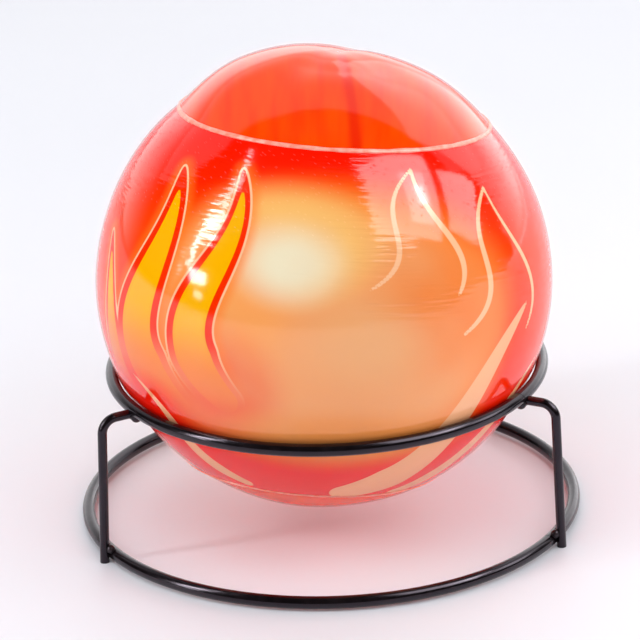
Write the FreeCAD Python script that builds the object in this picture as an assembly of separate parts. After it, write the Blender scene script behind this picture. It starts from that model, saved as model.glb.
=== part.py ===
import FreeCAD, Part
import math
import os

# A fire extinguisher ball that lies in a stand of welded wire. Millimetres, +Z up.
# The origin is on the floor, under the centre of the stand's rings, and the front is
# towards -Y. Each piece of the ball is drawn upright round the ball's own centre and
# axis, then leaned over and lowered onto the upper ring.

V = FreeCAD.Vector
CENTRE = V(0, 0, 0)
UP = V(0, 0, 1)

# Ball, over the film
ball_radius = 75.0
ball_lean = 9.3               # degrees between the ball's axis and the vertical
ball_lean_heading = 54.0      # degrees round from +X, the side that the axis leans to

# Printed shrink film
film_thickness = 0.3
film_clearance = 0.1          # air between the film and the foam under it
top_hem_angle = 42.7          # degrees from the upper pole
bottom_hem_angle = 34.9       # degrees from the lower pole
top_hem_bead = 0.65           # radius of the sealed edge of the film
bottom_hem_bead = 0.45
hem_clearance = 0.1           # between the sealed edge and the cap tucked under it
cap_swell = 2.0               # how far the top cap stands off the ball at its highest
cap_crown_inset = 13.7        # degrees from the hem to the highest line of that swell
cap_flat_angle = 13.0         # degrees from the axis where the cap lies on the foam again

# Foam half shells
shell_wall = 7.2
shell_step_height = 3.0       # tongue of the upper shell that goes into the lower one
shell_step_wall = 3.4
shell_step_clearance = 0.1

# Plugs in the holes at the poles
fill_hole_radius = 11.5
fill_hole_taper = 1.5         # how much narrower the hole is at the inside of the shell
cord_hole_radius = 3.0
cord_hole_taper = 0.5
plug_clearance = 0.1

# Fuse cords and their grooves
fuse_diameter = 2.4
fuse_clearance = 0.05         # round the cord, in every bore and groove
fuse_sink = 0.3               # from the top of the cord up to the foam's surface
fuse_bend_radius = 6.0
fuse_into_charge = 10.0
fuse_end_angle = 165.0        # degrees from the pole that the cord leaves
fuse_heading = -83.0          # degrees round the ball's axis, for the upper cord

# Burst charge
tube_radius = 12.5
tube_wall = 2.0
tube_length = 64.0
tube_plug_flange = 1.5
tube_plug_depth = 6.0
tube_plug_clearance = 0.1
powder_clearance = 0.1        # between the powder and the shells, and round the tube

# Stand
ring_wire = 4.2               # diameter, over the black coat
leg_wire = 3.1
seat_angle = 67.1             # degrees from the bottom of the ball round to the upper ring
seat_clearance = 0.2          # between the film and the upper ring
ball_rise = 6.6               # from the floor up to the bottom of the ball
ring_step = 10.0              # how much further out the lower ring's wire is
lower_ring_rise = 0.6         # from the floor up to the lower ring
leg_headings = {"left": -152.5, "right": -27.2, "back": 90.0}
leg_bend_radius = 5.0
leg_lean = 1.8                # degrees that a leg leans outwards from the vertical
arm_drop = 1.3                # from the middle of the upper ring down to the arm's
arm_reach = 0.5               # how far the arm's end goes in past the ring's middle
weld_sink = 0.45              # how far a leg is pressed into the lower ring's wire
ring_gap = 0.3                # between the two ends of each bent ring
ring_gap_slant = 25.0         # degrees that the cut leans from square
upper_ring_gap_heading = -29.0
lower_ring_gap_heading = -29.0
weld_radius = 1.9             # of each bead at the upper ring
weld_drop = 2.2               # from the middle of the upper ring down to its beads
foot_weld_radius = 1.5
foot_weld_rise = 2.1          # from the middle of the lower ring up to its beads
foot_weld_reach = 1.6         # and out to them
weld_spread = 1.5             # sideways from the middle of the leg to each bead

# Sizes that follow from the ones above
foam_radius = ball_radius - film_thickness - film_clearance
hollow_radius = foam_radius - shell_wall
powder_radius = hollow_radius - powder_clearance
fuse_radius = fuse_diameter / 2
fuse_groove_radius = fuse_radius + fuse_clearance
fuse_line_radius = foam_radius - fuse_sink - fuse_radius
tube_bore = tube_radius - tube_wall
charge_half_length = tube_length / 2 - tube_plug_depth
ring_wire_radius = ring_wire / 2
leg_wire_radius = leg_wire / 2
ball_centre_height = ball_rise + ball_radius
seat_radius = ball_radius + seat_clearance + ring_wire_radius
upper_ring_radius = seat_radius * math.sin(math.radians(seat_angle))
upper_ring_height = ball_centre_height - seat_radius * math.cos(math.radians(seat_angle))
lower_ring_radius = upper_ring_radius + ring_step
lower_ring_height = lower_ring_rise + ring_wire_radius
cap_crown_angle = top_hem_angle - cap_crown_inset
foot_reach = lower_ring_radius + ring_wire_radius + leg_wire_radius - weld_sink


def polar(radius, angle):
    """A point of the ball's half section, at an angle in degrees from the axis."""
    turn = math.radians(angle)
    return V(radius * math.sin(turn), 0, radius * math.cos(turn))


def arc(radius, start_angle, end_angle):
    """An arc of the half section round the ball's centre."""
    middle = (start_angle + end_angle) / 2
    return Part.Arc(
        polar(radius, start_angle), polar(radius, middle), polar(radius, end_angle)
    ).toShape()


def line(start, end):
    return Part.makeLine(start, end)


def turned(edges):
    """The solid that a closed half section makes when it turns round the axis."""
    return Part.Face(Part.Wire(edges)).revolve(CENTRE, UP, 360)


def angle_at_height(radius, height):
    return math.degrees(math.acos(height / radius))


def angle_at_reach(radius, reach):
    return math.degrees(math.asin(reach / radius))


def spun(shape, heading):
    """A copy turned round the vertical by a number of degrees."""
    copy = shape.copy()
    copy.rotate(CENTRE, UP, heading)
    return copy


def upended(shape):
    """A copy turned top to bottom, on the same side of the axis."""
    copy = shape.copy()
    copy.rotate(CENTRE, V(1, 0, 0), 180)
    return copy


def tube_along(edges, radius):
    """A round bar that follows a line of edges, from the start of the first one."""
    spine = Part.Wire(edges)
    first = edges[0]
    section = Part.makeCircle(
        radius, first.valueAt(first.FirstParameter), first.tangentAt(first.FirstParameter)
    )
    return spine.makePipeShell([Part.Wire([section])], True, False)


# Fuse cords


def fuse_route():
    """The middle of one cord in the plane of its meridian.

    It goes up the axis out of the charge, bends over in the pole's hole and lands on the
    circle that the cord keeps just under the foam's surface.
    """
    bend_height = math.sqrt((fuse_line_radius - fuse_bend_radius) ** 2 - fuse_bend_radius ** 2)
    land_angle = angle_at_reach(fuse_line_radius - fuse_bend_radius, fuse_bend_radius)
    bend_centre = V(fuse_bend_radius, 0, bend_height)
    start = V(0, 0, charge_half_length - fuse_into_charge)
    bend_start = V(0, 0, bend_height)
    bend_middle = bend_centre + polar(fuse_bend_radius, (land_angle - 90) / 2)
    bend_end = polar(fuse_line_radius, land_angle)
    return [
        line(start, bend_start),
        Part.Arc(bend_start, bend_middle, bend_end).toShape(),
        arc(fuse_line_radius, land_angle, fuse_end_angle),
    ]


def fuse_channel():
    """The space for one cord: a round bore up to the bend's end, then an open groove."""
    bore = tube_along(fuse_route()[:2], fuse_groove_radius)
    half = fuse_groove_radius
    mouth_radius = ball_radius + cap_swell
    side_low, side_high = V(0, half, fuse_line_radius), V(0, half, mouth_radius)
    far_low, far_high = V(0, -half, fuse_line_radius), V(0, -half, mouth_radius)
    groove_section = Part.Face(
        Part.Wire(
            [
                Part.Arc(far_low, V(0, 0, fuse_line_radius - half), side_low).toShape(),
                line(side_low, side_high),
                line(side_high, far_high),
                line(far_high, far_low),
            ]
        )
    )
    return bore.fuse(groove_section.revolve(CENTRE, V(0, 1, 0), fuse_end_angle))


cord = tube_along(fuse_route(), fuse_radius)
fuse_upper = spun(cord, fuse_heading)
fuse_lower = spun(upended(cord), fuse_heading + 180)
channel = fuse_channel()
channels = spun(channel, fuse_heading).fuse(spun(upended(channel), fuse_heading + 180))


# Foam half shells and the plugs in their holes


def hole_angles(mouth_radius, taper, clearance):
    """How far from the pole a tapered hole's edge lies, outside and inside the shell."""
    outside = angle_at_reach(foam_radius, mouth_radius - clearance)
    inside = angle_at_reach(hollow_radius, mouth_radius - taper - clearance)
    return outside, inside


def half_shell(mouth_radius, taper, step_points):
    """One half of the hollow foam ball, open at its pole, with its stepped edge below.

    The step's points run from the outside of the ball's middle plane to the hollow.
    """
    hole_outside, hole_inside = hole_angles(mouth_radius, taper, 0)
    outer_edge = polar(foam_radius, 90)
    step = [line(start, end) for start, end in zip([outer_edge, *step_points], step_points)]
    hollow_edge_angle = angle_at_height(hollow_radius, step_points[-1].z)
    return turned(
        [
            arc(foam_radius, hole_outside, 90),
            *step,
            arc(hollow_radius, hollow_edge_angle, hole_inside),
            line(polar(hollow_radius, hole_inside), polar(foam_radius, hole_outside)),
        ]
    )


def upper_shell():
    """The top half, whose inner edge is a tongue that reaches into the bottom half."""
    step_radius = hollow_radius + shell_step_wall
    step_points = [
        V(step_radius, 0, 0),
        V(step_radius, 0, -shell_step_height),
        V(hollow_radius, 0, -shell_step_height),
        V(hollow_radius, 0, 0),
    ]
    return half_shell(fill_hole_radius, fill_hole_taper, step_points).cut(channels)


def lower_shell():
    """The bottom half, with the rebate that takes the tongue."""
    rebate_radius = hollow_radius + shell_step_wall + shell_step_clearance
    rebate_depth = shell_step_height + shell_step_clearance
    ledge_angle = angle_at_height(hollow_radius, rebate_depth)
    step_points = [
        V(rebate_radius, 0, 0),
        V(rebate_radius, 0, rebate_depth),
        polar(hollow_radius, ledge_angle),
    ]
    return upended(half_shell(cord_hole_radius, cord_hole_taper, step_points)).cut(channels)


def pole_plug(mouth_radius, taper):
    """A plug that fills a pole's hole flush with the shell's outside and inside."""
    outside, inside = hole_angles(mouth_radius, taper, plug_clearance)
    return turned(
        [
            line(polar(hollow_radius, 0), polar(foam_radius, 0)),
            arc(foam_radius, 0, outside),
            line(polar(foam_radius, outside), polar(hollow_radius, inside)),
            arc(hollow_radius, inside, 0),
        ]
    )


fill_plug = pole_plug(fill_hole_radius, fill_hole_taper).cut(channels)
cord_seal = upended(pole_plug(cord_hole_radius, cord_hole_taper)).cut(channels)


# Printed film


def hem_ring(angle, bead, clearance):
    """The round bead along the film's sealed edge, at an angle from the ball's pole."""
    place = polar(ball_radius, angle)
    return Part.makeTorus(place.x, bead + clearance, V(0, 0, place.z), UP)


def inside_film():
    return Part.makeSphere(ball_radius - film_thickness)


def film_sleeve():
    """The wide band round the ball's middle, with a sealed hem along each edge."""
    top = top_hem_angle
    bottom = 180 - bottom_hem_angle
    inner_radius = ball_radius - film_thickness
    band = turned(
        [
            arc(ball_radius, top, bottom),
            line(polar(ball_radius, bottom), polar(inner_radius, bottom)),
            arc(inner_radius, bottom, top),
            line(polar(inner_radius, top), polar(ball_radius, top)),
        ]
    )
    hems = [
        hem_ring(top, top_hem_bead, 0),
        hem_ring(bottom, bottom_hem_bead, 0),
    ]
    return band.fuse([hem.cut(inside_film()) for hem in hems])


def cap_swell_arc(depth):
    """The swell of the top cap at a depth under its outside, from the hem up to the flat."""
    return Part.Arc(
        polar(ball_radius - depth, top_hem_angle),
        polar(ball_radius + cap_swell - depth, cap_crown_angle),
        polar(ball_radius - depth, cap_flat_angle),
    ).toShape()


def film_cap_top():
    """The top cap, which swells off the ball inside the hem and lies on it at the pole."""
    inner_radius = ball_radius - film_thickness
    cap = turned(
        [
            cap_swell_arc(0),
            arc(ball_radius, cap_flat_angle, 0),
            line(polar(ball_radius, 0), polar(inner_radius, 0)),
            arc(inner_radius, 0, cap_flat_angle),
            cap_swell_arc(film_thickness),
            line(polar(inner_radius, top_hem_angle), polar(ball_radius, top_hem_angle)),
        ]
    )
    return cap.cut(hem_ring(top_hem_angle, top_hem_bead, hem_clearance))


def film_cap_bottom():
    hem = bottom_hem_angle
    inner_radius = ball_radius - film_thickness
    cap = turned(
        [
            arc(ball_radius, hem, 0),
            line(polar(ball_radius, 0), polar(inner_radius, 0)),
            arc(inner_radius, 0, hem),
            line(polar(inner_radius, hem), polar(ball_radius, hem)),
        ]
    )
    return upended(cap.cut(hem_ring(hem, bottom_hem_bead, hem_clearance)))


# Burst charge and powder


def tube_plug():
    """The upper end plug of the charge tube: a flange on the end, and a spigot in it."""
    spigot_radius = tube_bore - tube_plug_clearance
    spigot = Part.makeCylinder(
        spigot_radius, tube_plug_depth, V(0, 0, charge_half_length), UP
    )
    flange = Part.makeCylinder(tube_radius, tube_plug_flange, V(0, 0, tube_length / 2), UP)
    return spigot.fuse(flange).removeSplitter().cut(channels)


def charge_tube():
    low_end = V(0, 0, -tube_length / 2)
    return Part.makeCylinder(tube_radius, tube_length, low_end, UP).cut(
        Part.makeCylinder(tube_bore, tube_length, low_end, UP)
    )


def burst_charge():
    radius = tube_bore - tube_plug_clearance
    low_end = V(0, 0, -charge_half_length)
    return Part.makeCylinder(radius, 2 * charge_half_length, low_end, UP).cut(channels)


def powder_fill():
    """The powder that fills the hollow ball round the charge and its cords."""
    radius = tube_radius + powder_clearance
    half_length = tube_length / 2 + tube_plug_flange + powder_clearance
    space = Part.makeCylinder(radius, 2 * half_length, V(0, 0, -half_length), UP)
    return Part.makeSphere(powder_radius).cut(space).cut(channels)


# Wire stand


def ring_bar(radius, height):
    return Part.makeTorus(radius, ring_wire_radius, V(0, 0, height), UP)


def ring(radius, height, gap_heading):
    """A ring of bent wire whose two ends almost meet at a slanted cut."""
    side = 2 * ring_wire
    cut = Part.makeBox(side, ring_gap, 2 * side, V(radius - side / 2, -ring_gap / 2, -side))
    cut.rotate(V(radius, 0, 0), V(1, 0, 0), ring_gap_slant)
    cut.translate(V(0, 0, height))
    return ring_bar(radius, height).cut(spun(cut, gap_heading))


upper_bar = ring_bar(upper_ring_radius, upper_ring_height)
lower_bar = ring_bar(lower_ring_radius, lower_ring_height)


def leg_route():
    """The middle of a leg's wire: out from the upper ring, round the bend, down to below the floor."""
    arm_height = upper_ring_height - arm_drop
    lean = math.tan(math.radians(leg_lean))
    corner = V(foot_reach - arm_height * lean, 0, arm_height)
    along_leg = V(lean, 0, -1).normalize()
    turn = math.radians(90 - leg_lean)
    setback = leg_bend_radius * math.tan(turn / 2)
    bend_start = corner - V(setback, 0, 0)
    bend_end = corner + along_leg * setback
    bend_centre = bend_start - V(0, 0, leg_bend_radius)
    outwards = (corner - bend_centre).normalize()
    below_floor = V(foot_reach + leg_wire * lean, 0, -leg_wire)
    return [
        line(V(upper_ring_radius - arm_reach, 0, arm_height), bend_start),
        Part.Arc(bend_start, bend_centre + outwards * leg_bend_radius, bend_end).toShape(),
        line(bend_end, below_floor),
    ]


def leg():
    """One leg, hollowed where it is welded to each ring and cut flat along the floor."""
    wire = tube_along(leg_route(), leg_wire_radius)
    side = 4 * leg_wire
    floor = Part.makeBox(side, side, side, V(foot_reach - side / 2, -side / 2, -side))
    return wire.cut(floor).cut(upper_bar).cut(lower_bar)


leg_bar = leg()


def weld(reach, height, radius, bar):
    """The two beads of one weld, one on each side of the leg's wire."""
    beads = [
        Part.makeSphere(radius, V(reach, side * weld_spread, height)) for side in (-1, 1)
    ]
    return beads[0].fuse(beads[1]).cut(bar).cut(leg_bar)


def at_legs(shape):
    """One group of solids with a copy of a shape at each leg."""
    solids = []
    for heading in leg_headings.values():
        solids += spun(shape, heading).Solids
    return Part.makeCompound(solids)


upper_weld = weld(upper_ring_radius, upper_ring_height - weld_drop, weld_radius, upper_bar)
foot_weld = weld(
    lower_ring_radius + foot_weld_reach,
    lower_ring_height + foot_weld_rise,
    foot_weld_radius,
    lower_bar,
)


# All pieces by name


def seated(shape):
    """A piece of the ball, leaned over and lowered onto the upper ring."""
    heading = math.radians(ball_lean_heading)
    lean = FreeCAD.Rotation(V(-math.sin(heading), math.cos(heading), 0), ball_lean)
    copy = shape.copy()
    copy.Placement = FreeCAD.Placement(V(0, 0, ball_centre_height), lean).multiply(copy.Placement)
    return copy


ball_pieces = {
    "film_sleeve": film_sleeve(),
    "film_cap_top": film_cap_top(),
    "film_cap_bottom": film_cap_bottom(),
    "shell_upper": upper_shell(),
    "shell_lower": lower_shell(),
    "fill_plug": fill_plug,
    "cord_seal": cord_seal,
    "fuse_cord_upper": fuse_upper,
    "fuse_cord_lower": fuse_lower,
    "charge_tube": charge_tube(),
    "tube_plug_upper": tube_plug(),
    "tube_plug_lower": upended(tube_plug()),
    "burst_charge": burst_charge(),
    "powder_fill": powder_fill(),
}
stand_pieces = {
    "upper_ring": ring(upper_ring_radius, upper_ring_height, upper_ring_gap_heading),
    "lower_ring": ring(lower_ring_radius, lower_ring_height, lower_ring_gap_heading),
    "upper_welds": at_legs(upper_weld),
    "lower_welds": at_legs(foot_weld),
}
for leg_name, leg_heading in leg_headings.items():
    stand_pieces["leg_" + leg_name] = spun(leg_bar, leg_heading)

os.makedirs("parts", exist_ok=True)
pieces = {name: seated(shape) for name, shape in ball_pieces.items()}
pieces.update(stand_pieces)
for name, shape in pieces.items():
    shape.exportStep("parts/" + name + ".step")
    print(name, len(shape.Solids), "solid(s)", round(shape.Volume), "mm3", shape.isValid())
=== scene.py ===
import logging
import math
from dataclasses import dataclass, field
from enum import Enum

import bpy
import numpy as np
from mathutils import Matrix, Vector

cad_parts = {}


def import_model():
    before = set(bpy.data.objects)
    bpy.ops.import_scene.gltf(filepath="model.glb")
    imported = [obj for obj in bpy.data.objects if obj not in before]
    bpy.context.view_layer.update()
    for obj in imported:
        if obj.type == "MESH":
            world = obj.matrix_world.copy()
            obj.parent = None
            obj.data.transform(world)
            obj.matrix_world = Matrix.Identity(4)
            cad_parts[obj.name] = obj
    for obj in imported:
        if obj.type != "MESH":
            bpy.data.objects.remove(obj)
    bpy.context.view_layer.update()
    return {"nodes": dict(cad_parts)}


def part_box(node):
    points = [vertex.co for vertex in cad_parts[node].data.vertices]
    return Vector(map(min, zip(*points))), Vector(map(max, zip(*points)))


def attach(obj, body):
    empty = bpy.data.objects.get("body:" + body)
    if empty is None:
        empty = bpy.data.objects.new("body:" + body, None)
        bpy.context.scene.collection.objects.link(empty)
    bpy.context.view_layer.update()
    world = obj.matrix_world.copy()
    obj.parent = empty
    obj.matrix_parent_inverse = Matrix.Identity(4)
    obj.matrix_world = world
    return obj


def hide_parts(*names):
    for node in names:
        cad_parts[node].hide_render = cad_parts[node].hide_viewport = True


# The looks of a fire extinguisher ball in its black wire stand. The hard pieces come from
# the frame; this script makes the printed film round the ball and gives every piece its
# finish. Lengths are metres unless a name ends in _mm, and angles are degrees.

MM = 0.001
BODY = "root"
PHOTO_SIDE = 640              # pixels, the side of the picture that the camera was fitted to
LOG = logging.getLogger("extinguisher_ball")

Colour = tuple[float, float, float, float]
Tree = bpy.types.NodeTree
Socket = bpy.types.NodeSocket


# Colour and nodes


def linear(hex_colour: str) -> Colour:
    """An sRGB hex colour as linear light.

    Args:
        hex_colour: six hex digits after a hash.

    Returns:
        Red, green, blue and an alpha of 1.
    """
    levels = [int(hex_colour[i : i + 2], 16) / 255 for i in (1, 3, 5)]
    light = [v / 12.92 if v <= 0.04045 else ((v + 0.055) / 1.055) ** 2.4 for v in levels]
    return light[0], light[1], light[2], 1.0


def add_node(
    tree: Tree, kind: str, values: dict | None = None, stops: list[tuple[float, str]] | None = None
) -> bpy.types.Node:
    """Adds one node with its settings and links.

    Args:
        tree: the node tree that takes it.
        kind: the node's type, without the words that every shader node's type starts with.
        values: what each property or input gets, by its name or number. A socket is linked,
            and so is a node, by its first output. A hex colour or a plain value is set.
        stops: places and hex colours of a colour ramp.

    Returns:
        The new node.
    """
    node = tree.nodes.new("ShaderNode" + kind)
    for name, value in (values or {}).items():
        if isinstance(value, bpy.types.Node):
            value = value.outputs[0]
        if isinstance(value, Socket):
            tree.links.new(value, node.inputs[name])
        elif isinstance(name, str) and hasattr(node, name):
            setattr(node, name, value)
        else:
            node.inputs[name].default_value = linear(value) if isinstance(value, str) else value
    if stops:
        ramp = node.color_ramp.elements
        ramp.remove(ramp[1])
        ramp[0].position, ramp[0].color = stops[0][0], linear(stops[0][1])
        for place, colour in stops[1:]:
            ramp.new(place).color = linear(colour)
    return node


def soft_mask(
    tree: Tree, value: Socket | str, low: float, high: float, top: Socket | float = 1.0
) -> Socket:
    """A share that rises smoothly from nothing as a value goes from low to high.

    Args:
        tree: the node tree.
        value: a socket, or the name of a value that the mesh holds at each point.
        low: where the share starts.
        high: where it is full, which may be the smaller of the two.
        top: the full share. Another mask here keeps this one to where that one shows.

    Returns:
        The socket of the share.
    """
    if isinstance(value, str):
        value = add_node(tree, "Attribute", {"attribute_name": value}).outputs["Fac"]
    rise = {"interpolation_type": "SMOOTHSTEP", 0: value, 1: low, 2: high, 4: top}
    return add_node(tree, "MapRange", rise).outputs[0]


def lay_inks(tree: Tree, ground: Socket | str, inks: list[tuple[Socket, Socket | str]]) -> Socket:
    """Lays colours over one another, each in its own share.

    Args:
        tree: the node tree.
        ground: the colour below them all, from a socket or as a hex colour.
        inks: the share of each ink, from 0 to 1, and its colour, given as the ground is.

    Returns:
        The socket of the colour on top.
    """
    colour = ground
    for share, ink in inks:
        colour = add_node(tree, "Mix", {"data_type": "RGBA", 0: share, 6: colour, 7: ink}).outputs[2]
    return colour


def new_material(name: str) -> tuple[bpy.types.Material, Tree]:
    """An empty material.

    Args:
        name: the material's name.

    Returns:
        The material and its node tree.
    """
    material = bpy.data.materials.new(name)
    material.use_nodes = True
    material.node_tree.nodes.clear()
    return material, material.node_tree


def close_material(tree: Tree, values: dict) -> None:
    """Gives a material its surface shader and its output.

    Args:
        tree: the node tree.
        values: what goes into each of the shader's sockets.
    """
    surface = add_node(tree, "BsdfPrincipled", values)
    add_node(tree, "OutputMaterial", {"Surface": surface})


# Where the ball lies


class Pole(Enum):
    """An end of the ball's axis."""

    UPPER = 1
    LOWER = -1


@dataclass
class BallPlace:
    """Where the ball lies in its stand, worked out from the frame's solids."""

    centre: np.ndarray
    turn: np.ndarray
    radius_mm: float

    @classmethod
    def from_frame(cls, nodes: dict[str, bpy.types.Object]) -> "BallPlace":
        """Reads the ball's centre, lean and radius.

        Args:
            nodes: the frame's solids by name.

        Returns:
            The place. Its axis is the charge tube's, between the middles of the tube's ends.
        """
        low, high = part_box("powder_fill")
        centre = np.array((low + high) / 2)
        tube = node_points(nodes["charge_tube"]) - centre
        axis = tube[tube[:, 2] > 0].mean(0) - tube[tube[:, 2] < 0].mean(0)
        turn = np.array(Vector((0, 0, 1)).rotation_difference(Vector(axis)).to_matrix())
        sleeve_low, sleeve_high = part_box("film_sleeve")
        radius_mm = (sleeve_high.x - sleeve_low.x) / 2 / MM
        return cls(centre, turn, radius_mm)

    def to_world(self, points_mm: np.ndarray) -> np.ndarray:
        """Points of the ball, in millimetres from its centre, as places in the scene."""
        return points_mm * MM @ self.turn.T + self.centre


def node_points(node: bpy.types.Object) -> np.ndarray:
    """The corner points of a solid of the frame, one row each."""
    points = np.empty(len(node.data.vertices) * 3)
    node.data.vertices.foreach_get("co", points)
    return points.reshape(-1, 3)


def directions(polar: np.ndarray, heading: np.ndarray) -> np.ndarray:
    """Unit vectors by their angle from the upper pole and their heading round the axis."""
    polar, heading = np.radians(polar), np.radians(heading)
    return np.stack(
        [np.sin(polar) * np.cos(heading), np.sin(polar) * np.sin(heading), np.cos(polar)], -1
    )


def smooth(value: np.ndarray, low: float, high: float) -> np.ndarray:
    """A smooth step from 0 at low to 1 at high."""
    share = np.clip((value - low) / (high - low), 0, 1)
    return share * share * (3 - 2 * share)


def unrolled(points_mm: np.ndarray) -> np.ndarray:
    """Places of the film's points on a flat sheet, in millimetres."""
    radius = np.linalg.norm(points_mm, axis=1)
    heading = np.arctan2(points_mm[:, 1], points_mm[:, 0])
    latitude = np.arcsin(points_mm[:, 2] / radius)
    return np.stack([heading * radius * np.cos(latitude), latitude * radius, 0 * radius], -1)


@dataclass
class Waves:
    """A gentle unevenness over the ball, made of a few crossed waves."""

    height_mm: float
    length_mm: float
    seed: int
    count: int = 14
    fineness: tuple[float, float] = (0.6, 1.5)    # of single waves, against their mean

    def at(self, points_mm: np.ndarray) -> np.ndarray:
        """How high the surface stands at each point, in millimetres."""
        draw = np.random.default_rng(self.seed)
        way = draw.normal(size=(self.count, 3))
        way *= 2 * math.pi / self.length_mm / np.linalg.norm(way, axis=1, keepdims=True)
        way *= draw.uniform(*self.fineness, (self.count, 1))
        start = draw.uniform(0, 2 * math.pi, self.count)
        heights = np.sin(points_mm @ way.T + start).sum(-1)
        return heights * self.height_mm / math.sqrt(self.count)


# Meshes that close round the ball


@dataclass
class Band:
    """Rows of points, each row once round the ball, that make one closed skin."""

    rows: np.ndarray
    finish: int = 0
    closes: bool = True
    tips: tuple[np.ndarray, ...] = ()


def skin_mesh(
    name: str, bands: list[Band], place: BallPlace, fields: dict[str, np.ndarray]
) -> bpy.types.Object:
    """Makes one object of several bands.

    Args:
        name: the object's name.
        bands: the bands, in millimetres in the ball's own axes.
        place: where the ball lies.
        fields: values for each point of the first band, by name.

    Returns:
        The object, linked to the scene.
    """
    points, faces, finishes = [], [], []
    for band in bands:
        rows, columns = band.rows.shape[:2]
        base = sum(len(p) for p in points)
        points.append(band.rows.reshape(-1, 3))
        corner = np.arange(rows * columns).reshape(rows, columns) + base
        following = np.roll(corner, -1, axis=1)
        last = rows if band.closes else rows - 1
        for row in range(last):
            under = (row + 1) % rows
            quads = np.stack([corner[row], corner[under], following[under], following[row]], -1)
            faces += quads.tolist()
            finishes += [band.finish] * columns
        for tip, row, turned in zip(band.tips, (0, rows - 1), (False, True)):
            tip_index = sum(len(p) for p in points)
            points.append(tip.reshape(1, 3))
            pair = (following[row], corner[row]) if turned else (corner[row], following[row])
            faces += np.stack([np.full(columns, tip_index), *pair], -1).tolist()
            finishes += [band.finish] * columns
    mesh = bpy.data.meshes.new(name)
    world = place.to_world(np.concatenate(points))
    mesh.from_pydata(world.tolist(), [], faces)
    mesh.polygons.foreach_set("material_index", finishes)
    mesh.polygons.foreach_set("use_smooth", [True] * len(faces))
    for field_name, values in fields.items():
        vector = values.ndim > 1
        attribute = mesh.attributes.new(field_name, "FLOAT_VECTOR" if vector else "FLOAT", "POINT")
        padded = np.zeros((len(world), *values.shape[1:]), np.float32)
        padded[: len(values)] = values
        attribute.data.foreach_set("vector" if vector else "value", padded.ravel())
    mesh.update()
    piece = bpy.data.objects.new(name, mesh)
    bpy.context.scene.collection.objects.link(piece)
    return piece


# Print


PALE_LINE = "#FFC294"
EDGE_LATITUDES = (-22.0, -4.0)    # where a body's edge fades in, from none to full


class LickStyle(Enum):
    """How a lick of flame is printed."""

    BODY = "solid amber with a deep red edge"
    BROAD = "solid peach"
    STROKE = "one thin pale line"


@dataclass(frozen=True)
class Spot:
    """A soft oval spot of colour, by its heading and latitude on the ball."""

    colour: str
    centre: tuple[float, float]
    reach: tuple[float, float]
    soft: float

    def share(self, heading: np.ndarray, latitude: np.ndarray) -> np.ndarray:
        """How much of the spot's colour shows at each place, 1 at its middle and 0 outside."""
        east = (heading - self.centre[0]) * np.cos(np.radians(latitude)) / self.reach[0]
        north = (latitude - self.centre[1]) / self.reach[1]
        return 1 - smooth(np.hypot(east, north), 1 - self.soft, 1 + self.soft)


@dataclass(frozen=True)
class Lick:
    """A lick of flame along a curve with two bends, by headings and latitudes on the ball.

    The four places are the control points of a cubic curve, from the root to the tip.
    """

    style: LickStyle
    places: tuple[tuple[float, float], ...]
    half_width_mm: float
    steps: int = 240
    inner_gap: float = 0.28       # how much shorter an inner body is, against how much narrower
    tip_taper: float = 0.62
    root_start: float = 0.4
    root_reach: float = 0.3
    root_round: float = 0.6
    line_ends: float = 0.5        # how wide a line's ends are, against its middle
    line_skew: float = 0.7

    def width_share(self, t: np.ndarray) -> np.ndarray:
        """How wide the lick is at each share of its length, against its widest place."""
        if self.style is LickStyle.STROKE:
            return self.line_ends + (1 - self.line_ends) * np.sin(math.pi * t ** self.line_skew)
        root = np.minimum(1, self.root_start + t / self.root_reach) ** self.root_round
        return (1 - t) ** self.tip_taper * root

    def inside(self, points_mm: np.ndarray, radius_mm: float, inner: float = 1.0) -> np.ndarray:
        """How deep each point lies inside the lick.

        Args:
            points_mm: points of the film.
            radius_mm: the ball's radius.
            inner: the share of the lick's width that counts, for the body in its edge.

        Returns:
            Millimetres in from the lick's edge, negative outside it.
        """
        t = np.linspace(0, 1, self.steps)[:, None]
        way = t * (1 - self.inner_gap * (1 - inner))
        weights = [(1 - way) ** 3, 3 * way * (1 - way) ** 2, 3 * way * way * (1 - way), way ** 3]
        curve = sum(w * np.array(p) for w, p in zip(weights, self.places))
        spine = directions(90 - curve[:, 1], curve[:, 0]) * radius_mm
        square = (points_mm ** 2).sum(-1)[:, None] + radius_mm ** 2 - 2 * points_mm @ spine.T
        distance = np.sqrt(np.maximum(square, 0))
        reach = inner * self.width_share(t[:, 0]) * self.half_width_mm
        return (reach - distance).max(1)


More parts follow.
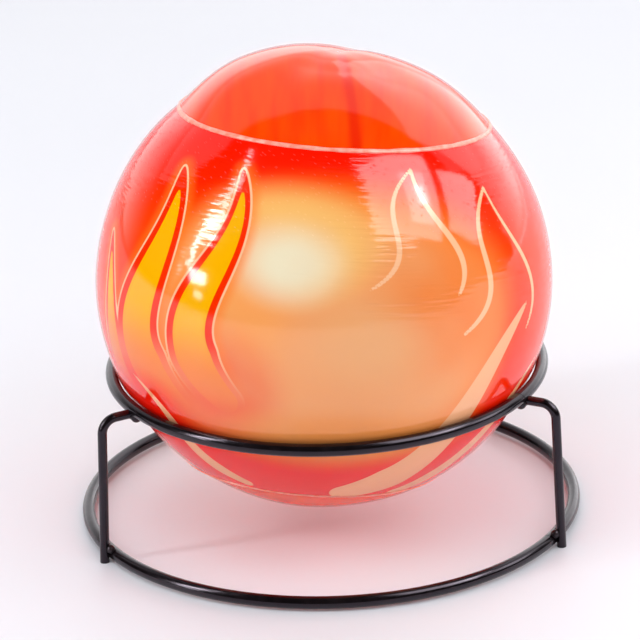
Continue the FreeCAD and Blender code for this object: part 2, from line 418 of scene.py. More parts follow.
@dataclass
class FlamePrint:
    """The print on the film: a pale glow with licks of flame round it, on each side of the ball."""

    face_heading: float = -92.0
    core_share: float = 0.72      # of a body's width, inside its edge
    spots: tuple[Spot, ...] = (
        Spot("#FB7A10", (2.0, 0.0), (48.0, 37.0), 0.17),
        Spot("#F7A468", (3.0, -3.0), (42.0, 30.0), 0.24),
        Spot("#FBBE6C", (-9.0, 22.0), (21.0, 13.0), 0.4),
        Spot("#F8853F", (33.0, 7.0), (17.0, 15.0), 0.6),
        Spot("#FBA45C", (-25.0, 7.0), (17.0, 18.0), 0.4),
        Spot("#F7643C", (-26.0, -17.0), (13.0, 13.0), 0.7),
        Spot("#F3AC72", (12.0, -2.0), (14.0, 9.0), 0.8),
        Spot("#F7964A", (12.0, -27.0), (24.0, 6.0), 0.7),
        Spot("#F3E6C4", (-9.0, 17.0), (11.0, 8.0), 0.7),
    )
    bodies: tuple[Lick, ...] = (
        Lick(LickStyle.BODY, ((-40, -26), (-70, -4), (-34, 10), (-50, 36)), 14.0),
        Lick(LickStyle.BODY, ((-24, -20), (-50, 2), (-14, 14), (-28, 39)), 11.0),
        Lick(LickStyle.BODY, ((-56, -34), (-74, -18), (-58, -6), (-71, 14)), 8.5),
    )
    broads: tuple[Lick, ...] = (
        Lick(LickStyle.BROAD, ((14, -52), (48, -42), (36, -14), (62, 5)), 8.5),
        Lick(LickStyle.BROAD, ((38, -54), (64, -42), (54, -26), (74, -12)), 4.5),
        Lick(LickStyle.BROAD, ((-26, -52), (-48, -42), (-38, -30), (-58, -20)), 3.4),
    )
    strokes: tuple[Lick, ...] = (
        Lick(LickStyle.STROKE, ((12, 12), (30, 22), (8, 30), (27, 42)), 0.9),
        Lick(LickStyle.STROKE, ((36, 10), (44, 22), (26, 28), (27, 42)), 1.1),
        Lick(LickStyle.STROKE, ((38, 0), (58, 12), (34, 22), (53, 35)), 1.15),
        Lick(LickStyle.STROKE, ((62, -2), (72, 12), (54, 20), (53, 35)), 0.9),
    )

    def face_angles(self, points_mm: np.ndarray) -> tuple[np.ndarray, np.ndarray]:
        """Each point's heading from the middle of the nearer face, and its latitude."""
        heading = np.degrees(np.arctan2(points_mm[:, 1], points_mm[:, 0])) - self.face_heading
        heading = (heading + 90) % 180 - 90
        latitude = np.degrees(np.arcsin(points_mm[:, 2] / np.linalg.norm(points_mm, axis=1)))
        return heading, latitude

    def fields(self, points_mm: np.ndarray, radius_mm: float) -> dict[str, np.ndarray]:
        """The values that the film's finish is drawn from.

        Args:
            points_mm: the film's outer points.
            radius_mm: the ball's radius.

        Returns:
            Values at each point by name: shares for the spots, and for each kind of lick the
            millimetres in from its edge.
        """
        heading, latitude = self.face_angles(points_mm)
        flat = directions(90 - latitude, heading) * radius_mm
        depth = {}
        layers = (
            ("edge", self.bodies, 1.0),
            ("body", self.bodies, self.core_share),
            ("broad", self.broads, 1.0),
            ("stroke", self.strokes, 1.0),
        )
        for name, licks, inner in layers:
            depth[name] = np.max([lick.inside(flat, radius_mm, inner) for lick in licks], axis=0)
        spots = {f"spot_{i}": spot.share(heading, latitude) for i, spot in enumerate(self.spots)}
        return {
            "film_place": points_mm,
            "unrolled": unrolled(points_mm),
            "latitude": latitude,
            **spots,
            **depth,
        }


# Film finishes


@dataclass(frozen=True)
class ShrinkVinyl:
    """PVC shrink film, blown thin and shrunk on with hot air: a wet gloss broken by fine creases."""

    roughness: float = 0.09
    ior: float = 1.53
    crease_mm: float = 1.45       # spacing of the fine creases that run round the ball
    crease_run: float = 0.09      # how fine they are along the ball, against across it
    crease_relief_mm: float = 0.27    # drawn deeper than real, so that it shows
    crease_latitudes: tuple[float, float] = (-4.0, 12.0)    # from none to full
    patch_mm: float = 28.6        # size of the patches that the creases come in
    patch_edges: tuple[float, float] = (0.44, 0.66)
    vent_spacing_mm: float = 3.4  # pin holes that let the air out, near the shoulder
    vent_mm: float = 0.34
    vent_core: float = 0.4        # the share of a hole's width that is fully dull
    vent_latitudes: tuple[float, float] = (20.0, 30.0)
    vent_roughness: float = 0.9

    def vents(self, tree: Tree) -> Socket:
        """The pin holes.

        Args:
            tree: the node tree.

        Returns:
            The socket of their share, 1 in each hole.
        """
        sheet = add_node(tree, "Attribute", {"attribute_name": "unrolled"}).outputs["Vector"]
        spread = {"Scale": 1 / self.vent_spacing_mm, "Randomness": 0.95}
        cells = add_node(tree, "TexVoronoi", {"voronoi_dimensions": "2D", "Vector": sheet, **spread})
        edge = self.vent_mm / self.vent_spacing_mm
        shoulder = soft_mask(tree, "latitude", *self.vent_latitudes)
        return soft_mask(tree, cells.outputs["Distance"], edge, self.vent_core * edge, shoulder)

    def relief(self, tree: Tree) -> Socket:
        """The film's fine relief: creases that run round the ball, in patches.

        Args:
            tree: the node tree.

        Returns:
            The socket of the bumped normal.
        """
        place = add_node(tree, "Attribute", {"attribute_name": "film_place"}).outputs["Vector"]
        run = (self.crease_run, self.crease_run, 1.0)
        squeezed = add_node(tree, "VectorMath", {"operation": "MULTIPLY", 0: place, 1: run})
        grain = {"Scale": 1 / self.crease_mm, "Detail": 2.0, "Roughness": 0.45}
        creases = add_node(tree, "TexNoise", {"Vector": squeezed, **grain})
        patches = add_node(tree, "TexNoise", {"Vector": place, "Scale": 1 / self.patch_mm, "Detail": 1.0})
        shoulder = soft_mask(tree, "latitude", *self.crease_latitudes)
        strength = soft_mask(tree, patches.outputs[0], *self.patch_edges, shoulder)
        height = add_node(tree, "Math", {"operation": "MULTIPLY", 0: creases, 1: strength})
        depth = {"Strength": 1.0, "Distance": self.crease_relief_mm * MM}
        return add_node(tree, "Bump", {"Height": height, **depth}).outputs[0]

    def close(self, tree: Tree, colour: Socket) -> None:
        """Gives a film its gloss, dull in the pin holes.

        Args:
            tree: the node tree.
            colour: the film's colour.
        """
        dull = {0: self.vents(tree), 3: self.roughness, 4: self.vent_roughness}
        gloss = add_node(tree, "MapRange", dull)
        close_material(
            tree,
            {"IOR": self.ior, "Base Color": colour, "Roughness": gloss, "Normal": self.relief(tree)},
        )


@dataclass(frozen=True)
class Ink:
    """One colour of the licks, which comes in with the depth inside a kind of lick."""

    colour: str
    lick: str
    low_mm: float = -0.15
    high_mm: float = 0.15
    strength: float = 1.0
    latitudes: tuple[float, float] | None = None    # from none to full
    root_colour: str | None = None
    root_latitudes: tuple[float, float] = (-14.0, 2.0)    # from the root's colour to the ink's own

    def share(self, tree: Tree) -> Socket:
        """The socket of how much of the ink shows."""
        top = self.strength
        if self.latitudes:
            top = soft_mask(tree, "latitude", *self.latitudes, top)
        return soft_mask(tree, self.lick, self.low_mm, self.high_mm, top)

    def tone(self, tree: Tree) -> Socket | str:
        """The ink's colour, or the socket of it where the lick's root has another."""
        if self.root_colour is None:
            return self.colour
        upper = soft_mask(tree, "latitude", *self.root_latitudes)
        return lay_inks(tree, self.root_colour, [(upper, self.colour)])


@dataclass(frozen=True)
class PrintedVinyl(ShrinkVinyl):
    """The sleeve's film, printed on its underside: red, with a glow and licks of flame."""

    ground: tuple[tuple[float, str], ...] = (
        (0.0, "#FA1610"), (0.16, "#FB1206"), (0.3, "#FB1802"), (0.5, "#FD3A02"), (0.7, "#FE4200"),
        (0.86, "#FF2400"), (1.0, "#FF1200"),
    )
    ground_latitudes: tuple[float, float] = (-56.0, 48.0)    # of the first and the last tone
    cloud: str = "#F2AE74"
    cloud_mm: float = 33.3
    cloud_edges: tuple[float, float] = (0.4, 0.8)
    cloud_strength: float = 0.4
    glow: int = 1                 # the spot that the cloud lies on
    inks: tuple[Ink, ...] = (
        Ink("#FCBC8C", "broad", strength=0.85),
        Ink("#FF7A1E", "edge", -5.0, -0.6, 0.55, EDGE_LATITUDES),
        Ink(PALE_LINE, "edge", -0.85, -0.65, 1.0, EDGE_LATITUDES),
        Ink("#FA2E00", "edge", latitudes=EDGE_LATITUDES),
        Ink("#FDB400", "body", latitudes=(-26.0, -10.0), root_colour="#FB8A3C"),
        Ink(PALE_LINE, "stroke"),
    )

    def make(self, flames: FlamePrint) -> bpy.types.Material:
        """Makes the material.

        Args:
            flames: the print, whose spots and licks the film's mesh holds as fields.

        Returns:
            The material.
        """
        material, tree = new_material("printed_vinyl")
        latitude = add_node(tree, "Attribute", {"attribute_name": "latitude"}).outputs["Fac"]
        south, north = self.ground_latitudes
        height = add_node(tree, "MapRange", {0: latitude, 1: south, 2: north})
        ground = add_node(tree, "ValToRGB", {0: height}, list(self.ground))
        layers = []
        for number, spot in enumerate(flames.spots):
            share = add_node(tree, "Attribute", {"attribute_name": f"spot_{number}"}).outputs["Fac"]
            layers.append((share, spot.colour))
        place = add_node(tree, "Attribute", {"attribute_name": "film_place"}).outputs["Vector"]
        noise = add_node(tree, "TexNoise", {"Vector": place, "Scale": 1 / self.cloud_mm, "Detail": 2.0})
        cloudy = soft_mask(tree, noise.outputs[0], *self.cloud_edges, self.cloud_strength)
        glow = layers[self.glow][0]
        cloud = add_node(tree, "Math", {"operation": "MULTIPLY", 0: glow, 1: cloudy})
        layers.append((cloud.outputs[0], self.cloud))
        layers += [(ink.share(tree), ink.tone(tree)) for ink in self.inks]
        self.close(tree, lay_inks(tree, ground.outputs[0], layers))
        return material


@dataclass(frozen=True)
class CapVinyl(ShrinkVinyl):
    """The plain orange-red film of the caps, with streaks of painted light and shade along its fine gathers
    and painted shade along the seam's crease.
    """

    # tones of the streaks of painted light and shade along the fine gathers, set by the noise, not by place
    crown: str = "#FF4E00"
    middle: str = "#FF4600"
    rim: str = "#FF3C00"
    # painted shade along the seam's crease: its deeper red, where it comes in, and how strong it is
    crease_shade_red: str = "#F01800"
    crease_shade_edges: tuple[float, float] = (0.15, 1.0)
    crease_shade_strength: float = 0.75
    fold_mm: float = 1.6
    fold_run: tuple[float, float, float] = (0.3, 0.05, 0.05)    # how fine the gathers are each way

    def make(self) -> bpy.types.Material:
        """Makes the material.

        Returns:
            The material.
        """
        material, tree = new_material("cap_vinyl")
        place = add_node(tree, "Attribute", {"attribute_name": "film_place"}).outputs["Vector"]
        drawn = add_node(tree, "VectorMath", {"operation": "MULTIPLY", 0: place, 1: self.fold_run})
        # Painted light and shade: streaks of lighter and deeper orange-red stand for the fine gathers.
        streaks = add_node(tree, "TexNoise", {"Vector": drawn, "Scale": 1 / self.fold_mm, "Detail": 2.0})
        stops = [(0.3, self.rim), (0.5, self.middle), (0.7, self.crown)]
        ground = add_node(tree, "ValToRGB", {0: streaks}, stops)
        # Painted shade: a deeper red along the seam's crease, where the film is drawn in between the
        # pillows.
        seam = soft_mask(tree, "seam", *self.crease_shade_edges, self.crease_shade_strength)
        self.close(tree, lay_inks(tree, ground.outputs[0], [(seam, self.crease_shade_red)]))
        return material


@dataclass(frozen=True)
class SealedEdge:
    """The film's heat-sealed edge: melted vinyl in milky pink, mottled with a paler pink that is a painted
    highlight.
    """

    colour: str = "#FF8A72"
    # the paler pink of a painted highlight, mottled along the bead
    pale: str = "#FFB4A2"
    mottle_mm: float = 2.38
    relief_mm: float = 0.1
    roughness: float = 0.28
    ior: float = 1.53

    def make(self) -> bpy.types.Material:
        """Makes the material, mottled along the bead with the paler pink of a painted highlight."""
        material, tree = new_material("sealed_edge")
        place = add_node(tree, "TexCoord").outputs["Object"]
        scale = 1 / (self.mottle_mm * MM)
        mottle = add_node(tree, "TexNoise", {"Vector": place, "Scale": scale, "Detail": 3.0})
        # Painted highlight: the paler pink, mottled in along the bead by the noise.
        colour = add_node(tree, "ValToRGB", {0: mottle}, [(0.35, self.colour), (0.7, self.pale)])
        depth = {"Strength": 0.4, "Distance": self.relief_mm * MM}
        bump = add_node(tree, "Bump", {"Height": mottle, **depth})
        close_material(
            tree,
            {"IOR": self.ior, "Base Color": colour, "Roughness": self.roughness, "Normal": bump},
        )
        return material


# Film meshes


@dataclass(frozen=True)
class CapSwell:
    """How far the top cap stands off the ball: two pillows, drawn in along the seam between them.

    Behind the pole the seam's crease widens to a valley that bends away. Pairs of sizes are those
    of the crease and of the valley, or the places where a change starts and where it is complete.
    """

    left_mm: float = 3.3
    right_mm: float = 1.5
    seam_heading: float = -83.0
    rise_share: float = 0.42      # of the way in from the hem, over which the sides rise
    crown_share: float = 0.6      # the pole's height, against the pillows'
    front_share: float = 0.72     # the height where the gentle front slope would end
    front_turn: tuple[float, float] = (0.2, 0.85)    # cosines from the seam's heading
    front_start: float = 0.35     # of the way from the pole to the hem
    front_slope: float = 1.5      # ways in from the hem that the whole slope would take
    divide_mm: float = 7.0        # how far right of the seam the left pillow ends
    divide_soft_mm: float = 12.0
    half_width_mm: tuple[float, float] = (1.6, 10.0)
    widens_mm: tuple[float, float] = (-4.0, 22.0)
    depth_share: tuple[float, float] = (0.12, 0.4)
    deepens_mm: tuple[float, float] = (-6.0, 16.0)
    bend_mm: float = 20.0
    bends_mm: tuple[float, float] = (0.0, 30.0)
    crease_starts_mm: tuple[float, float] = (0.0, 8.0)

    def at(self, outward: np.ndarray, radius_mm: float, hem: float) -> tuple[np.ndarray, np.ndarray]:
        """The swell and the seam.

        Args:
            outward: unit vectors of the cap's points.
            radius_mm: the ball's radius.
            hem: degrees from the pole to the hem.

        Returns:
            The swell in millimetres, and the share of the seam's crease.
        """
        seam = math.radians(self.seam_heading)
        east, north = outward[..., 0] * radius_mm, outward[..., 1] * radius_mm
        along = east * math.cos(seam) + north * math.sin(seam)
        across = north * math.cos(seam) - east * math.sin(seam)
        hem_share = np.degrees(np.arccos(np.clip(outward[..., 2], -1, 1))) / hem
        inside = 1 - hem_share
        rise = np.sin(math.pi / 2 * np.clip(inside / self.rise_share, 0, 1))
        crown = self.crown_share + (1 - self.crown_share) * np.sin(math.pi * np.clip(hem_share, 0, 1))
        cosine = along / np.maximum(np.hypot(east, north), 1e-6)
        front = smooth(cosine, *self.front_turn) * smooth(hem_share, 0.0, self.front_start)
        slope = self.front_share * smooth(inside, 0.0, self.front_slope)
        pillow = rise * crown * (1 - front) + slope * front
        left = 0.5 - 0.5 * np.tanh((across - self.divide_mm) / self.divide_soft_mm)
        height = self.right_mm + (self.left_mm - self.right_mm) * left
        off_line = across - self.bend_mm * smooth(-along, *self.bends_mm)
        narrow, wide = self.half_width_mm
        shallow, deep = self.depth_share
        width = narrow + (wide - narrow) * smooth(-along, *self.widens_mm)
        depth = shallow + (deep - shallow) * smooth(-along, *self.deepens_mm)
        valley = np.exp(-0.5 * (off_line / width) ** 2)
        return height * pillow * (1 - depth * valley), valley * smooth(along, *self.crease_starts_mm)


@dataclass
class ShrinkFilm:
    """The film round the ball: a printed sleeve and a plain cap at each pole."""

    place: BallPlace
    thickness_mm: float = 0.3
    top_hem: float = 42.7         # degrees from the upper pole
    bottom_hem: float = 34.9      # degrees from the lower pole
    top_bead_mm: tuple[float, float] = (0.55, 0.8)    # how far it stands up, and half its width
    bottom_bead_mm: tuple[float, float] = (0.35, 0.5)
    bead_notch: float = 0.22      # depth of the groove along a bead, as a share of its rise
    bead_notch_width: float = 0.3
    bead_wave: tuple[float, float] = (0.14, 9.0)    # share of its size, and length in millimetres
    bead_points: int = 14
    columns: int = 480
    sleeve_rows: int = 148
    lining_rows: int = 20
    top_rows: int = 74
    bottom_rows: int = 56
    sleeve_ease: float = 8.0      # degrees from a hem over which the slack comes in
    cap_ease: float = 6.0
    bottom_sink_mm: float = 0.05  # how far the bottom cap lies under the sleeve's face
    slack: Waves = field(default_factory=lambda: Waves(0.09, 46.0, 3))
    swell: CapSwell = CapSwell()

    def headings(self) -> np.ndarray:
        """The columns' headings round the ball's axis."""
        return np.linspace(-180, 180, self.columns, endpoint=False)

    def grid(self, polar: np.ndarray) -> np.ndarray:
        """Unit vectors of rows once round the ball, one for each angle from the upper pole."""
        return directions(*np.meshgrid(polar, self.headings(), indexing="ij"))

    def sleeve(self, flames: FlamePrint) -> bpy.types.Object:
        """The printed sleeve with its two sealed edges.

        Args:
            flames: the print.

        Returns:
            The piece.
        """
        radius = self.place.radius_mm
        low_edge = 180 - self.bottom_hem
        polar = np.linspace(self.top_hem, low_edge, self.sleeve_rows)
        outward = self.grid(polar)
        from_hem = np.minimum(polar - self.top_hem, low_edge - polar)
        ends = smooth(from_hem, 0, self.sleeve_ease)[:, None]
        outer = outward * (radius + self.slack.at(outward * radius) * ends)[..., None]
        inner = self.grid(np.linspace(low_edge, self.top_hem, self.lining_rows))
        rows = np.concatenate([outer, inner * (radius - self.thickness_mm)])
        fields = flames.fields(rows.reshape(-1, 3), radius)
        beads = [
            self.bead(self.top_hem, self.top_bead_mm, 5),
            self.bead(low_edge, self.bottom_bead_mm, 6),
        ]
        return skin_mesh("printed_sleeve", [Band(rows), *beads], self.place, fields)

    def bead(self, polar: float, half_sizes_mm: tuple[float, float], seed: int) -> Band:
        """The sealed edge: a flat double bead, a little uneven along its length.

        Args:
            polar: its angle from the upper pole.
            half_sizes_mm: how far it stands up and half its width.
            seed: the seed of its unevenness.

        Returns:
            The band.
        """
        heading = self.headings()
        line = directions(np.full_like(heading, polar), heading)
        across = directions(np.full_like(heading, polar + 90), heading)
        uneven = 1 + Waves(*self.bead_wave, seed).at(line * self.place.radius_mm)
        turn = np.linspace(0, 2 * math.pi, self.bead_points, endpoint=False)[:, None]
        rise, half_width = half_sizes_mm
        notch = self.bead_notch * np.exp(-((np.cos(turn) / self.bead_notch_width) ** 2))
        lift = rise * (np.sin(turn) * uneven - notch * (np.sin(turn) > 0))
        side = np.cos(turn) * half_width * (0.5 + 0.5 * uneven)
        return Band(line * (self.place.radius_mm + lift)[..., None] + across * side[..., None], finish=1)

    def top_cap(self) -> bpy.types.Object:
        """The top cap, blown up a little inside its hem."""
        return self.cap("top_cap", Pole.UPPER, self.top_hem, self.top_rows)

    def bottom_cap(self) -> bpy.types.Object:
        """The bottom cap, which lies on the ball."""
        return self.cap("bottom_cap", Pole.LOWER, self.bottom_hem, self.bottom_rows)

    def cap(self, name: str, pole: Pole, hem: float, count: int) -> bpy.types.Object:
        """A cap with its own thickness, from its pole out to the hem and back inside.

        Args:
            name: the piece's name.
            pole: the pole that it covers.
            hem: how far it reaches from that pole.
            count: its number of rows.

        Returns:
            The piece.
        """
        radius = self.place.radius_mm
        polar = np.linspace(0, hem, count + 1)[1:]
        outward = self.grid(polar) * np.array([1.0, 1.0, pole.value])
        if pole is Pole.UPPER:
            swell, seam = self.swell.at(outward, radius, hem)
        else:
            ends = smooth(hem - polar, 0, self.cap_ease)[:, None]
            swell = self.slack.at(outward * radius) * ends - self.bottom_sink_mm
            seam = np.zeros_like(swell)
        outer = outward * (radius + swell)[..., None]
        inner = outward * (radius + swell - self.thickness_mm)[..., None]
        rows = np.concatenate([outer, inner[::-1]])
        if pole is Pole.LOWER:
            rows = rows[:, ::-1]
            seam = seam[:, ::-1]
        up = np.array([0.0, 0.0, float(pole.value)])
        lift = swell[0].mean()
        tips = (up * (radius + lift), up * (radius + lift - self.thickness_mm))
        fields = {
            "film_place": rows.reshape(-1, 3),
            "unrolled": unrolled(rows.reshape(-1, 3)),
            "seam": np.concatenate([seam, seam[::-1]]).reshape(-1),
        }
        return skin_mesh(name, [Band(rows, closes=False, tips=tips)], self.place, fields)

    def build(self) -> None:
        """Makes the film's pieces, dresses them and puts them in place of their solids."""
        flames = FlamePrint()
        vinyl, edge, cap_vinyl = PrintedVinyl().make(flames), SealedEdge().make(), CapVinyl().make()
        made = [
            (self.sleeve(flames), "film_sleeve", "printed_film", (vinyl, edge)),
            (self.top_cap(), "film_cap_top", "cap_film", (cap_vinyl,)),
            (self.bottom_cap(), "film_cap_bottom", "cap_film", (cap_vinyl,)),
        ]
        for piece, node, slot, materials in made:
            for material in materials:
                piece.data.materials.append(material)
            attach(piece, BODY)
            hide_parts(node)
            LOG.info("%s: %d faces", piece.name, len(piece.data.polygons))


# Stand


@dataclass(frozen=True)
class DipCoat:
    """Mild steel wire dipped in black enamel: near black, glossy, with soft sags along the wire."""

    colour: str = "#0D090B"
    worn: str = "#1B1417"
    sheen: str = "#EBDDF0"
    roughness: float = 0.14
    gloss_spread: tuple[float, float] = (-0.05, 0.1)
    ior: float = 1.52
    sag_mm: float = 3.2
    peel_mm: float = 0.667        # the fine orange peel of dried enamel
    peel_share: float = 0.12      # its height, against the sags
    relief_mm: float = 0.06

    def make(self, name: str = "dip_coat") -> bpy.types.Material:
        """Makes the material.

        Args:
            name: the material's name.

        Returns:
            The material.
        """
        material, tree = new_material(name)
        place = add_node(tree, "TexCoord").outputs["Object"]
        sag_scale, peel_scale = (1 / (size * MM) for size in (self.sag_mm, self.peel_mm))
        sags = add_node(tree, "TexNoise", {"Vector": place, "Scale": sag_scale, "Detail": 2.0})
        peel = add_node(tree, "TexNoise", {"Vector": place, "Scale": peel_scale, "Detail": 3.0})
        colour = add_node(tree, "ValToRGB", {0: sags}, [(0.4, self.colour), (0.75, self.worn)])
        smoothest, roughest = (self.roughness + spread for spread in self.gloss_spread)
        gloss = add_node(tree, "MapRange", {0: peel, 3: smoothest, 4: roughest})
        height = {"operation": "MULTIPLY_ADD", 0: peel, 1: self.peel_share, 2: sags}
        depth = {"Strength": 0.6, "Distance": self.relief_mm * MM}
        bump = add_node(tree, "Bump", {"Height": add_node(tree, "Math", height), **depth})
        light = {"IOR": self.ior, "Specular Tint": self.sheen}
        close_material(tree, {"Base Color": colour, "Roughness": gloss, "Normal": bump, **light})
        return material


@dataclass
class WireStand:
    """The stand: two rings, three legs and the welds that join them."""

    nodes: dict[str, bpy.types.Object]
    wires: tuple[str, ...] = ("upper_ring", "lower_ring", "leg_left", "leg_right", "leg_back")
    welds: tuple[str, ...] = ("upper_welds", "lower_welds")

    def build(self) -> None:
        """Dresses the stand's solids."""
        coat = DipCoat().make()
        weld_coat = DipCoat(colour="#151010", worn="#2A2221", roughness=0.28, sag_mm=1.1).make("weld_coat")
        for name in self.wires:
            dress(self.nodes[name], coat)
        for name in self.welds:
            dress(self.nodes[name], weld_coat)


def dress(node: bpy.types.Object, material: bpy.types.Material) -> None:
    """Gives a solid of the frame its finish.

    Args:
        node: the solid.
        material: the finish.
    """
    if not node.material_slots:
        node.data.materials.append(material)
    for slot in node.material_slots:
        slot.material = material
    LOG.info("%s: %s", node.name, material.name)


# Inside of the ball


@dataclass(frozen=True)
class GrainFinish:
    """A dull finish of two tones with a grain: foam cells, card fibres, powder or yarn."""

    name: str
    low: str
    high: str
    grain_mm: float
    roughness: float
    depth_mm: float = 0.05
    stretch: tuple[float, float, float] = (1.0, 1.0, 1.0)

    def make(self) -> bpy.types.Material:
        """Makes the material.

        Returns:
            The material, with its grain at its real size.
        """
        material, tree = new_material(self.name)
        place = add_node(tree, "TexCoord").outputs["Object"]
        drawn = add_node(tree, "VectorMath", {"operation": "MULTIPLY", 0: place, 1: self.stretch})
        scale = 1 / (self.grain_mm * MM)
        grain = add_node(tree, "TexNoise", {"Vector": drawn, "Scale": scale, "Detail": 4.0})
        colour = add_node(tree, "ValToRGB", {0: grain}, [(0.35, self.low), (0.65, self.high)])
        depth = {"Strength": 0.7, "Distance": self.depth_mm * MM}
        bump = add_node(tree, "Bump", {"Height": grain, **depth})
        close_material(tree, {"Base Color": colour, "Roughness": self.roughness, "Normal": bump})
        return material


@dataclass
class BallCore:
    """What the film holds: foam shells and plugs, fuse cords, the charge and the powder."""

    nodes: dict[str, bpy.types.Object]

    def build(self) -> None:
        """Dresses the inner solids."""
        # Expanded polystyrene shows its beads, waxed yarn its lay, rolled kraft card its fibres
        foam = GrainFinish("moulded_foam", "#E4E1D6", "#F2F0E8", 1.8, 0.75, 0.12)
        wax = GrainFinish("sealing_wax", "#B9A468", "#D2C08A", 2.5, 0.5, 0.04)
        yarn = GrainFinish("fuse_yarn", "#1F4A26", "#3B7040", 0.5, 0.8, 0.1, (1.0, 1.0, 0.4))
        card = GrainFinish("rolled_card", "#8E6B45", "#B0875A", 0.7, 0.85, 0.04, (1.0, 1.0, 0.15))
        plug = GrainFinish("pressed_card", "#7A5F44", "#96785A", 0.5, 0.9, 0.05)
        black = GrainFinish("black_powder", "#141416", "#34343A", 0.35, 0.7, 0.1)
        dry = GrainFinish("dry_powder", "#E2DCBC", "#F3EFD6", 0.2, 0.95, 0.05)
        finishes = {
            foam: ("shell_upper", "shell_lower", "fill_plug"),
            wax: ("cord_seal",),
            yarn: ("fuse_cord_upper", "fuse_cord_lower"),
            card: ("charge_tube",),
            plug: ("tube_plug_upper", "tube_plug_lower"),
            black: ("burst_charge",),
            dry: ("powder_fill",),
        }
        for finish, names in finishes.items():
            material = finish.make()
            for name in names:
                dress(self.nodes[name], material)


# Studio


class LampRole(Enum):
    """What a lamp is for."""

    GLINT = "only seen in glossy surfaces"
    FILL = "only lights what is dull"


@dataclass(frozen=True)
class SoftBox:
    """A flat lamp, placed by the directions that its two short sides are seen in from the ball.

    A direction is a heading, from 0 towards the camera round to the right, and a height.
    """

    name: str
    low: tuple[float, float]
    high: tuple[float, float]
    width: float                  # degrees, as seen from the ball
    radiance: float
    distance: float = 1.6
    role: LampRole = LampRole.GLINT
    colour: str = "#FFFFFF"

    def build(self, target: Vector) -> None:
        """Makes the lamp.

        Args:
            target: the place that it faces.
        """
        ends = [target + aim(*way) * self.distance for way in (self.low, self.high)]
        middle = (ends[0] + ends[1]) / 2
        lamp = bpy.data.lights.new(self.name, "AREA")
        lamp.shape = "RECTANGLE"
        lamp.size = 2 * self.distance * math.tan(math.radians(self.width / 2))
        lamp.size_y = (ends[1] - ends[0]).length
        lamp.energy = self.radiance * math.pi * lamp.size * lamp.size_y
        lamp.color = linear(self.colour)[:3]
        back = (middle - target).normalized()
        up = (ends[1] - ends[0]).normalized()
        side = up.cross(back).normalized()
        turn = Matrix((side, back.cross(side), back)).transposed()
        holder = bpy.data.objects.new(self.name, lamp)
        holder.matrix_world = Matrix.Translation(middle) @ turn.to_4x4()
        holder.visible_camera = False
        holder.visible_glossy = self.role is LampRole.GLINT
        holder.visible_diffuse = self.role is LampRole.FILL
        bpy.context.scene.collection.objects.link(holder)


def aim(heading: float, height: float) -> Vector:
    """The unit vector of a heading round from the camera's side and a height."""
    heading, height = math.radians(heading), math.radians(height)
    level = math.cos(height)
    return Vector((math.sin(heading) * level, -math.cos(heading) * level, math.sin(height)))


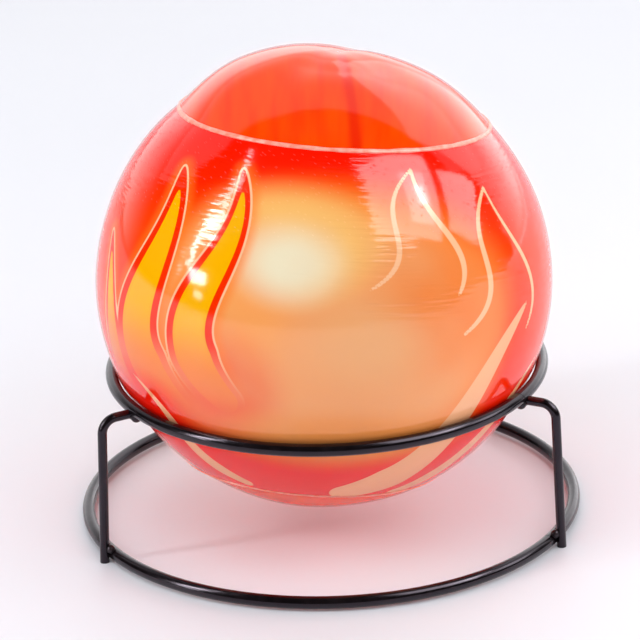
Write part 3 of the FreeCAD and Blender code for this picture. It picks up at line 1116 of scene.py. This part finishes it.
@dataclass
class Studio:
    """A pale sweep, a bright backdrop behind the ball, soft boxes at its sides and the camera."""

    ball_centre: Vector
    camera_place: tuple[float, float, float] = (0.0, -1.48983, 0.67605)
    camera_yaw: float = -0.06705
    camera_pitch: float = 22.22899
    camera_roll: float = -1.93206
    focal_pixels: float = 4873.3
    sensor_mm: float = 36.0
    floor_half: float = 3.0
    floor_cells: int = 24
    paper: tuple[str, str] = ("#EAEBF3", "#EEEFF7")
    paper_cloud_mm: float = 333.0
    backdrop_edges: tuple[float, float] = (-0.3, -0.82)    # cosines from the way to the camera
    backdrop_radiance: float = 1.65
    backdrop_seen: str = "#F6F5F8"    # behind the floor, in the picture
    boxes: tuple[SoftBox, ...] = (
        SoftBox("left_dots", (-65, 3), (-65, 6), 5.0, 9.0),
        SoftBox("left_strip_low", (-66, 9), (-67, 14.5), 9.0, 22.0),
        SoftBox("left_strip_edge", (-72.5, 15), (-74, 29), 3.0, 22.0),
        SoftBox("left_strip_high", (-70, 27), (-72.5, 40), 10.0, 24.0),
        SoftBox("left_dash_low", (-74, 42), (-75, 47), 6.0, 20.0),
        SoftBox("left_dash_middle", (-77, 50), (-80, 54), 4.5, 16.0),
        SoftBox("left_dash_high", (-84, 56), (-88, 58.5), 3.2, 16.0),
        SoftBox("left_dash_top", (-95, 60.5), (-105, 62.5), 2.2, 14.0),
        SoftBox("left_chip", (-77, 9), (-79, 13), 3.5, 6.0),
        SoftBox("right_panel", (52, 32), (92, 63), 33.0, 5.0),
        SoftBox("right_glow", (64, 34), (86, 52), 11.0, 4.2, 1.5),
        SoftBox("right_bulb", (73, 40), (80, 47), 4.5, 12.0, 1.4),
        SoftBox("right_window", (82, 19), (106, 35), 17.0, 4.6),
        SoftBox("right_sheet", (131, -8), (150, 48), 42.0, 1.15, 1.6),
        SoftBox("front_fill", (-12, 38), (8, 78), 70.0, 1.8, 2.2, LampRole.FILL),
        SoftBox("left_key", (-70, 10), (-74, 42), 6.0, 15.0, 2.0, LampRole.FILL),
        SoftBox("right_fill", (60, 10), (60, 50), 40.0, 1.3, 2.0, LampRole.FILL),
        SoftBox("left_low", (-105, 3), (-105, 26), 46.0, 2.0, 2.0, LampRole.FILL),
        SoftBox("right_low", (105, 3), (105, 26), 46.0, 5.0, 2.0, LampRole.FILL),
        SoftBox("front_low", (0, 3), (0, 22), 60.0, 1.1, 2.0, LampRole.FILL),
        SoftBox("back_low", (180, 3), (180, 24), 60.0, 1.3, 2.0, LampRole.FILL),
        SoftBox("overhead", (180, 88), (180, 60), 40.0, 1.8, 1.8, LampRole.FILL),
        SoftBox("back_top", (180, 68), (180, 34), 104.0, 0.55, 2.0),
    )

    def camera(self) -> None:
        """The camera at the photograph's viewing angle."""
        yaw, pitch, roll = (math.radians(a) for a in (self.camera_yaw, self.camera_pitch, self.camera_roll))
        level = math.cos(pitch)
        forward = Vector((math.sin(yaw) * level, math.cos(yaw) * level, -math.sin(pitch)))
        right = forward.cross(Vector((0, 0, 1))).normalized()
        up = right.cross(forward)
        rolled_right = right * math.cos(roll) + up * math.sin(roll)
        rolled_up = up * math.cos(roll) - right * math.sin(roll)
        data = bpy.data.cameras.new("camera")
        data.sensor_width = self.sensor_mm
        data.lens = self.focal_pixels * self.sensor_mm / PHOTO_SIDE
        turn = Matrix((rolled_right, rolled_up, -forward)).transposed()
        holder = bpy.data.objects.new("camera", data)
        holder.matrix_world = Matrix.Translation(Vector(self.camera_place)) @ turn.to_4x4()
        bpy.context.scene.collection.objects.link(holder)
        bpy.context.scene.camera = holder

    def floor(self) -> None:
        """The pale sweep that the stand is on."""
        side = np.linspace(-self.floor_half, self.floor_half, self.floor_cells + 1)
        points = [(x, y, 0.0) for y in side for x in side]
        across = self.floor_cells + 1
        faces = [
            (i, i + 1, i + 1 + across, i + across)
            for row in range(self.floor_cells)
            for i in range(row * across, row * across + self.floor_cells)
        ]
        mesh = bpy.data.meshes.new("floor")
        mesh.from_pydata(points, [], faces)
        material, tree = new_material("paper_sweep")
        place = add_node(tree, "TexCoord").outputs["Object"]
        scale = 1 / (self.paper_cloud_mm * MM)
        fibre = add_node(tree, "TexNoise", {"Vector": place, "Scale": scale, "Detail": 3.0})
        colour = add_node(tree, "ValToRGB", {0: fibre}, [(0.3, self.paper[0]), (0.7, self.paper[1])])
        close_material(tree, {"Base Color": colour, "Roughness": 0.5, "Specular IOR Level": 0.45})
        mesh.materials.append(material)
        holder = bpy.data.objects.new("floor", mesh)
        bpy.context.scene.collection.objects.link(holder)

    def backdrop(self) -> None:
        """The light from all round: dark on the camera's side and bright behind the ball."""
        world = bpy.data.worlds.new("backdrop")
        world.use_nodes = True
        tree = world.node_tree
        tree.nodes.clear()
        to_camera = (Vector(self.camera_place) - self.ball_centre).normalized()
        way = add_node(tree, "TexCoord").outputs["Generated"]
        cosine = {"operation": "DOT_PRODUCT", 0: way, 1: tuple(to_camera)}
        facing = add_node(tree, "VectorMath", cosine).outputs["Value"]
        level = soft_mask(tree, facing, *self.backdrop_edges, self.backdrop_radiance)
        glow = add_node(tree, "Background", {"Color": "#FFFFFF", "Strength": level})
        pale = add_node(tree, "Background", {"Color": self.backdrop_seen, "Strength": 1.0})
        eye = add_node(tree, "LightPath").outputs["Is Camera Ray"]
        mixed = add_node(tree, "MixShader", {0: eye, 1: glow, 2: pale})
        add_node(tree, "OutputWorld", {"Surface": mixed})
        bpy.context.scene.world = world

    def build(self) -> None:
        """Sets the camera, the floor, the backdrop and the lamps."""
        self.camera()
        self.floor()
        self.backdrop()
        for box in self.boxes:
            box.build(self.ball_centre)
        bpy.context.scene.view_settings.view_transform = "Standard"
        LOG.info("studio: %d lamps", len(self.boxes))


def main() -> None:
    """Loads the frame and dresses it."""
    logging.basicConfig(level=logging.INFO, format="%(name)s: %(message)s")
    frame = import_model()
    nodes = frame["nodes"]
    place = BallPlace.from_frame(nodes)
    Studio(Vector(place.centre)).build()
    ShrinkFilm(place).build()
    WireStand(nodes).build()
    BallCore(nodes).build()


if __name__ == "__main__":
    main()
